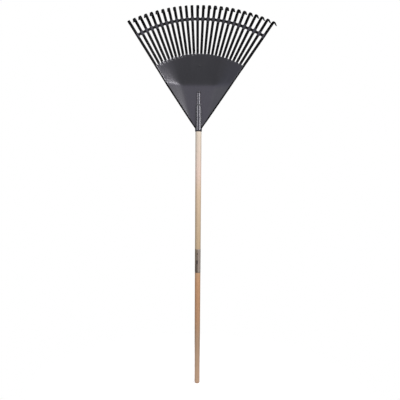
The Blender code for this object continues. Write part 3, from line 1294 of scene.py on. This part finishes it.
class Finish(Nodes):
    """A new material's nodes, with the steps that most finishes end with."""

    def __init__(self, name: str, effects: Effects) -> None:
        """Makes the material.

        Args:
            name: Its name.
            effects: The shared node groups.
        """
        self.made = bpy.data.materials.new(name)
        self.made.use_nodes = True
        super().__init__(self.made.node_tree)
        self.effects = effects

    def dusted(self, colour: object, amount: float, patch_scale: float, dust: Triple) -> NodeSocket:
        """A colour with dust on it."""
        mask = self.group(self.effects.dust, amount=amount, patch_scale=patch_scale)
        return self.blend(mask, colour, dust)

    def gloss(self, middle: float, spread: float, scale: float) -> NodeSocket:
        """An uneven roughness."""
        return self.group(self.effects.mottle, middle=middle, spread=spread, scale=scale)

    def relief(self, fine_scale: float, share: float) -> NodeSocket:
        """The height of a fine relief."""
        return self.group(self.effects.relief, fine_scale=fine_scale, share=share)

    def bump(self, height: NodeSocket, strength: float, distance: float) -> NodeSocket:
        """The normal over a height."""
        inputs = {"Height": height, "Strength": strength, "Distance": distance}
        return self.add("Bump", inputs).outputs["Normal"]

    def end(self, values: dict[str, object]) -> Material:
        """Sets or links the shader's inputs, and returns the material.

        Args:
            values: Each input's value or socket, by its name.

        Returns:
            The material.
        """
        for label, value in values.items():
            self.give(self.tree.nodes["Principled BSDF"].inputs[label], value)
        return self.made


@dataclass(frozen=True)
class MouldedPlastic:
    """Black moulded plastic, semi-gloss, with flow marks that fan out from the gate.

    Args:
        mouth_z: The socket's mouth, from which the flow fans out.
        name: The material's name.
        colour: The plastic.
        flow_colour: The plastic where the flow lines show.
        roughness: Its middle roughness.
        specular: How strongly its surface mirrors the light.
        scuff_start: Height above the mouth from which the claws are rubbed.
    """

    mouth_z: float
    name: str = "black_moulded_plastic"
    colour: Triple = (0.0150, 0.0150, 0.0165)
    flow_colour: Triple = (0.0172, 0.0172, 0.0190)
    roughness: float = 0.17
    specular: float = 0.75
    scuff_start: float = 0.36

    def build(self, effects: Effects) -> Material:
        """Makes the material: base colour with flow lines, uneven gloss, fine relief and dust.

        Args:
            effects: The shared node groups.

        Returns:
            The material.
        """
        n = Finish(self.name, effects)
        place = n.parts(n.place)
        up = n.minus(place["Z"], self.mouth_z - 0.02)
        angle, far = n.math("ARCTAN2", place["X"], up), n.hypot(place["X"], up)
        fan = n.add("CombineXYZ", {0: n.times(angle, 28.0), 1: n.times(far, 5.0)}).outputs[0]
        lines = n.fade(n.noise(fan, 1.0, 5.0, 0.62), 0.40, 0.72)
        colour = n.blend(lines, self.colour, self.flow_colour)
        colour = n.dusted(colour, 0.05, 26.0, (0.20, 0.185, 0.165))
        low = self.mouth_z + self.scuff_start
        scuff = n.fade(n.grain((90.0, 90.0, 40.0), 3.0, 4.0), 0.52, 0.75)
        scuff = n.times(n.fade(place["Z"], low, low + 0.02), scuff)
        wave = n.grain((1.0, 1.0, 0.55), 9.0, 2.0)
        height = n.plus(n.times(n.relief(1400.0, 0.35), 0.00002), n.times(wave, 0.00015))
        return n.end(
            {
                "Base Color": n.blend(n.times(scuff, 0.04), colour, (0.10, 0.10, 0.10)),
                "Roughness": n.plus(n.gloss(self.roughness, 0.05, 11.0), n.times(lines, 0.015)),
                "Normal": n.bump(height, 0.55, 1.0),
                "IOR": 1.49,
                "Specular IOR Level": self.specular,
            }
        )


@dataclass(frozen=True)
class LacqueredWood:
    """Pale straight-grained wood under clear lacquer, warmer towards the butt.

    Args:
        top: The stick's visible top, where the colours below start.
        centre: Where the tree's middle lies beside the stick, so the rings show as long lines.
        roughness: The wood's roughness under the lacquer.
        body: The wood's colours up the stick, from 0 at the butt to 1 at the top.
    """

    top: float
    centre: tuple[float, float] = (0.031, 0.047)
    roughness: float = 0.52
    body: tuple[tuple[float, Triple], ...] = (
        (0.00, (0.252, 0.160, 0.094)),
        (0.18, (0.246, 0.156, 0.087)),
        (0.26, (0.302, 0.156, 0.070)),
        (0.41, (0.384, 0.206, 0.093)),
        (0.54, (0.392, 0.296, 0.166)),
        (0.76, (0.520, 0.405, 0.262)),
        (0.83, (0.600, 0.464, 0.366)),
        (1.00, (0.552, 0.500, 0.384)),
    )

    def build(self, effects: Effects) -> Material:
        """Makes the material: colour by height, ring lines, pores, dust, lacquer.

        Args:
            effects: The shared node groups.

        Returns:
            The material.
        """
        n = Finish("lacquered_wood", effects)
        place = n.parts(n.place)
        colour = n.ramp(n.math("DIVIDE", place["Z"], self.top), self.body)
        drift = n.grain((6.0, 6.0, 1.3))
        sides = {i: n.minus(place["XY"[i]], self.centre[i]) for i in range(2)}
        away = n.add("CombineXYZ", sides).outputs[0]
        ring = n.add("VectorMath", {0: away}, operation="LENGTH").outputs["Value"]
        ring = n.plus(ring, n.times(drift, 0.010))
        late = n.fade(n.math("FRACT", n.times(ring, 620.0)), 0.45, 0.98)
        fibre = n.grain((1500.0, 1500.0, 22.0), 1.0, 3.0, 0.6)
        pores = n.fade(n.grain((1100.0, 1100.0, 38.0), 1.0, 2.0), 0.60, 0.72)
        colour = n.blend(n.times(late, 0.30), colour, (0.30, 0.17, 0.085))
        colour = n.blend(n.times(pores, 0.32), colour, (0.22, 0.13, 0.07))
        colour = n.blend(n.fade(fibre, 0.3, 0.7, 0.0, 0.10), colour, (0.78, 0.60, 0.43))
        height = n.plus(n.times(fibre, 0.4), n.times(pores, -0.6))
        return n.end(
            {
                "Base Color": n.dusted(colour, 0.06, 18.0, (0.52, 0.45, 0.37)),
                "Roughness": n.gloss(self.roughness, 0.14, 24.0),
                "Normal": n.bump(height, 0.16, 0.0004),
                "Coat Weight": 0.08,
                "Coat Roughness": 0.30,
                "Specular IOR Level": 0.35,
            }
        )


@dataclass(frozen=True)
class PrintedFilm:
    """A satin film with plain printed blocks and no lettering.

    Args:
        shaded: Painted shade: the film's colour darkened left of the front, away from the light on the
            right.
        side_lit_film: Painted light: the film's colour made paler right of the front, where the light
            falls.
        ink: The print's colour.
        blocks: Each block's middle, across (in turns) and up (0 to 1), its half size in both
            directions, and how dense its ink is.
    """

    shaded: Triple = (0.152, 0.114, 0.070)
    side_lit_film: Triple = (0.240, 0.198, 0.154)
    ink: Triple = (0.010, 0.006, 0.004)
    blocks: tuple[tuple[float, float, float, float, float], ...] = (
        (-0.034, 0.798, 0.024, 0.034, 1.00),
        (-0.034, 0.628, 0.020, 0.090, 0.50),
        (-0.054, 0.440, 0.046, 0.085, 1.00),
        (-0.160, 0.175, 0.142, 0.170, 0.50),
        (-0.034, 0.020, 0.022, 0.045, 0.85),
    )

    def build(self, effects: Effects) -> Material:
        """Makes the material: blocks from the unrolled coordinates, worn a little by noise.

        Args:
            effects: The shared node groups.

        Returns:
            The material.
        """
        n = Finish("printed_film", effects)
        uv = n.parts(n.add("UVMap", uv_map="unrolled").outputs["UV"])
        printed: object = 0.0
        for middle, up, half, tall, ink in self.blocks:
            side = n.math("ABSOLUTE", n.minus(uv["X"], middle))
            rise = n.math("ABSOLUTE", n.minus(uv["Y"], up))
            across = n.fade(side, half - 0.006, half + 0.006, ink, 0.0)
            block = n.times(across, n.fade(rise, tall - 0.010, tall + 0.010, 1.0, 0.0))
            printed = n.math("MAXIMUM", printed, block)
        worn = n.fade(n.grain((700.0, 700.0, 500.0), 1.0, 4.0), 0.36, 0.44)
        stain = n.fade(n.grain((60.0, 60.0, 30.0), 1.0, 4.0), 0.35, 0.75, 0.0, 0.35)
        # Painted side light: the film is darker left of the front and paler right of it, as if lit from the
        # right.
        side_lit_film = n.blend(n.fade(uv["X"], -0.06, 0.05), self.shaded, self.side_lit_film)
        colour = n.blend(n.times(stain, 0.5), side_lit_film, (0.22, 0.18, 0.14))
        colour = n.blend(n.times(printed, worn), colour, self.ink)
        return n.end(
            {
                "Base Color": n.dusted(colour, 0.10, 40.0, (0.5, 0.45, 0.4)),
                "Roughness": n.gloss(0.38, 0.12, 60.0),
                "Normal": n.bump(n.relief(700.0, 0.3), 0.10, 0.0005),
            }
        )


@dataclass(frozen=True)
class PlatedSteel:
    """Zinc-plated steel with a faintly uneven, brushed look.

    Args:
        colour: The zinc.
        stain: Its duller patches.
    """

    colour: Triple = (0.60, 0.60, 0.58)
    stain: Triple = (0.48, 0.45, 0.36)

    def build(self, effects: Effects) -> Material:
        """Makes the material.

        Args:
            effects: The shared node groups.

        Returns:
            The material.
        """
        n = Finish("zinc_plated_steel", effects)
        tint = n.fade(n.grain((400.0, 400.0, 400.0), 1.0, 4.0), 0.4, 0.7, 0.0, 0.5)
        colour = n.blend(tint, self.colour, self.stain)
        return n.end(
            {
                "Base Color": n.dusted(colour, 0.2, 300.0, (0.25, 0.22, 0.19)),
                "Metallic": 1.0,
                "Roughness": n.gloss(0.32, 0.2, 500.0),
                "Normal": n.bump(n.relief(3000.0, 0.6), 0.08, 0.0003),
            }
        )


# ---------------------------------------------------------------- studio


@dataclass(frozen=True)
class SoftLight:
    """A rectangular light that points at the middle of the head.

    Args:
        name: Its name.
        place: Where it stands.
        size: Its width and height.
        power: Its power in watts.
        colour: Its colour.
        aim: What it points at.
    """

    name: str
    place: Triple
    size: tuple[float, float]
    power: float
    colour: Triple = (1.0, 0.98, 1.04)
    aim: Triple = (0.0, 0.0, 1.15)

    def build(self) -> None:
        """Adds the light, unseen by the camera."""
        data = bpy.data.lights.new(self.name, "AREA")
        data.shape = "RECTANGLE"
        data.size, data.size_y = self.size
        data.energy = self.power
        data.color = self.colour
        light = bpy.data.objects.new(self.name, data)
        light.location = self.place
        direction = Vector(self.aim) - Vector(self.place)
        light.rotation_euler = direction.to_track_quat("-Z", "Y").to_euler()
        light.visible_camera = False
        bpy.context.scene.collection.objects.link(light)


@dataclass(frozen=True)
class Studio:
    """A pale floor, soft lights, a white backdrop and the camera.

    Args:
        distance: From the camera to the handle's plane.
        eye: The camera's place beside the handle and its height.
        view_half: Half the width seen at the handle's plane.
        shift: How far the frame is moved off the camera's axis, in frame widths.
        roll: The camera's roll.
        lights: The lights.
        sky: The light from each height, from 0 straight below to 1 straight above.
        left_shade: The light from the far left, of which half is mixed in.
        back_shade: The light from the sides and behind.
    """

    distance: float = 1.9006
    eye: tuple[float, float] = (-0.1450, 0.7906)
    view_half: float = 0.8656
    shift: float = 0.0886
    roll: float = math.radians(-0.335)
    lights: tuple[SoftLight, ...] = (
        SoftLight("key_right", (1.31, -1.40, 1.45), (0.50, 0.40), 2.2),
        SoftLight("spot_right", (1.24, -1.47, 1.42), (0.26, 0.12), 2.6),
        SoftLight("panel_right", (1.44, -1.28, 1.64), (0.30, 0.80), 17.5),
        SoftLight("fill_back", (0.50, 2.30, 2.30), (1.60, 1.20), 22.0),
        SoftLight("panel_left", (-1.62, -1.22, 1.60), (0.50, 0.80), 12.5),
    )
    sky: tuple[tuple[float, Triple], ...] = (
        (0.00, (0.10, 0.10, 0.10)),
        (0.40, (0.46, 0.46, 0.50)),
        (0.50, (0.66, 0.64, 0.76)),
        (0.60, (1.00, 0.95, 1.22)),
        (0.72, (1.10, 1.06, 1.26)),
        (1.00, (2.75, 2.72, 2.70)),
    )
    left_shade: Triple = (0.30, 0.37, 0.52)
    back_shade: Triple = (0.10, 0.10, 0.11)

    def build_camera(self) -> None:
        """Looks level along +Y. The lens follows from the distance and the width seen."""
        data = bpy.data.cameras.new("camera")
        data.sensor_width = 36.0
        data.lens = 0.5 * data.sensor_width * self.distance / self.view_half
        data.shift_x = self.shift
        camera = bpy.data.objects.new("camera", data)
        camera.location = (self.eye[0], -self.distance, self.eye[1])
        camera.rotation_euler = (math.radians(90.0), self.roll, 0.0)
        bpy.context.scene.collection.objects.link(camera)
        bpy.context.scene.camera = camera

    def build_floor(self, effects: Effects) -> None:
        """A round pale floor that fades out, with its last ring turned down at the rim.

        Args:
            effects: The shared node groups.
        """
        profile = np.array([[0.0, 0.0], [0.8, 0.0], [1.6, 0.0], [2.36, 0.0], [2.4, -0.02]])
        n = Finish("pale_floor", effects)
        speckle = n.fade(n.grain((1.0, 1.0, 1.0), 3.0, 4.0), 0.3, 0.7)
        place = n.parts(n.place)
        look = n.end(
            {
                "Base Color": n.blend(speckle, (0.86, 0.86, 0.86), (0.90, 0.90, 0.90)),
                "Alpha": n.fade(n.hypot(place["X"], place["Y"]), 0.12, 0.75, 1.0, 0.0),
                "Roughness": 0.9,
                "Specular IOR Level": 0.1,
                "Emission Color": (1.0, 1.0, 1.0),
                "Emission Strength": 0.35,
            }
        )
        make_mesh("floor", *revolve(profile, 64), look)

    def build_world(self) -> None:
        """White to the camera; for everything else light that fades from above to below."""
        world = bpy.data.worlds.new("studio")
        world.use_nodes = True
        world.node_tree.nodes.clear()
        n = Nodes(world.node_tree)
        direction = n.parts(n.add("TexCoord").outputs["Generated"])
        glow = n.ramp(n.fade(direction["Z"], -1.0, 1.0), self.sky)
        glow = n.blend(n.fade(direction["X"], -0.25, -0.60, 0.0, 0.5), glow, self.left_shade)
        glow = n.blend(n.fade(direction["Y"], -0.38, -0.10), glow, self.back_shade)
        seen = n.add("LightPath").outputs["Is Camera Ray"]
        light = n.add("Background", {"Color": glow}).outputs[0]
        white = n.add("Background", {"Color": (1.0, 1.0, 1.0)}).outputs[0]
        mixed = n.add("MixShader", {0: seen, 1: light, 2: white}).outputs[0]
        n.add("OutputWorld", {"Surface": mixed})
        bpy.context.scene.world = world

    def build(self, effects: Effects) -> None:
        """Sets up the whole studio.

        Args:
            effects: The shared node groups.
        """
        bpy.context.scene.view_settings.view_transform = "Standard"
        self.build_world()
        self.build_floor(effects)
        for light in self.lights:
            light.build()
        self.build_camera()


# ---------------------------------------------------------------- the rake


@dataclass
class LeafRake:
    """The whole rake: takes its places from the frame, builds each piece and hangs it on the body.

    Args:
        effects: The node groups that the finishes share.
    """

    effects: Effects

    def __post_init__(self) -> None:
        """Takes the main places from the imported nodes' boxes."""
        self.mouth_z = float(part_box("socket")[0][2])
        self.scoop = Scoop(self.mouth_z)
        self.socket = Socket(self.mouth_z)
        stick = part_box("handle")
        self.handle = Handle(float(stick[0][2]), self.mouth_z, float(stick[1][2]))

    def keep(self, piece: Object, slot: Slot, *nodes: str) -> None:
        """Rides a piece on the body, hides the CAD nodes that it stands for and logs its faces.

        Args:
            piece: The piece.
            slot: Its material slot; not used.
            nodes: The CAD nodes, if it stands for any.
        """
        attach(piece, BODY)
        if nodes:
            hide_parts(*nodes)
        LOG.info("%s: %d faces", piece.name, len(piece.data.polygons))

    def build_head(self) -> None:
        """The moulding: head, socket and gate mark. What is slim gets a darker, barely reflective copy of
        the same plastic: painted shade.
        """
        plastic = MouldedPlastic(self.mouth_z).build(self.effects)
        # A darker, barely reflective copy of the same plastic for the tines, ribs and brace: painted shade.
        dark = MouldedPlastic(
            self.mouth_z,
            name="painted_shade_tine_plastic",
            colour=(0.0020, 0.0020, 0.0021),
            flow_colour=(0.0032, 0.0032, 0.0034),
            roughness=0.42,
            specular=0.09,
        ).build(self.effects)
        polished = MouldedPlastic(
            self.mouth_z, name="polished_socket_plastic", roughness=0.14
        ).build(self.effects)
        head = RakeHead(self.scoop)
        tines = [f"tine_{i + 1:02d}" for i in range(head.fan.count)]
        nodes = ["web_plate", "edge_rib_left", "edge_rib_right", "brace", *tines]
        self.keep(head.build(self.socket, plastic, dark), Slot.PLASTIC, *nodes)
        self.keep(self.socket.build(polished), Slot.PLASTIC, "socket")
        self.keep(GateMark(self.scoop).build(plastic), Slot.PLASTIC)

    def build_handle(self) -> None:
        """The stick and its wrapped label."""
        wood = LacqueredWood(self.mouth_z).build(self.effects)
        self.keep(self.handle.build(wood), Slot.WOOD, "handle")
        low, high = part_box("wrap_label")
        label = WrapLabel(self.handle, float(low[2]), float(high[2]))
        film = PrintedFilm().build(self.effects)
        self.keep(label.build(film), Slot.FILM, "wrap_label")

    def build_screw(self) -> None:
        """The screw, seated where the CAD screw's head starts."""
        low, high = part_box("fixing_screw")
        seat_y = float(high[1]) - FixingScrew.head_height
        seat = np.array([0.0, seat_y, 0.5 * float(low[2] + high[2])])
        steel = PlatedSteel().build(self.effects)
        self.keep(FixingScrew(seat).build(steel), Slot.STEEL, "fixing_screw")

    def build(self) -> None:
        """Builds every piece in order."""
        self.build_head()
        self.build_handle()
        self.build_screw()


def main() -> None:
    logging.basicConfig(level=logging.INFO, format="%(name)s: %(message)s")
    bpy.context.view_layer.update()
    effects = Effects()
    LeafRake(effects).build()
    Studio().build(effects)


if __name__ == "__main__":
    main()
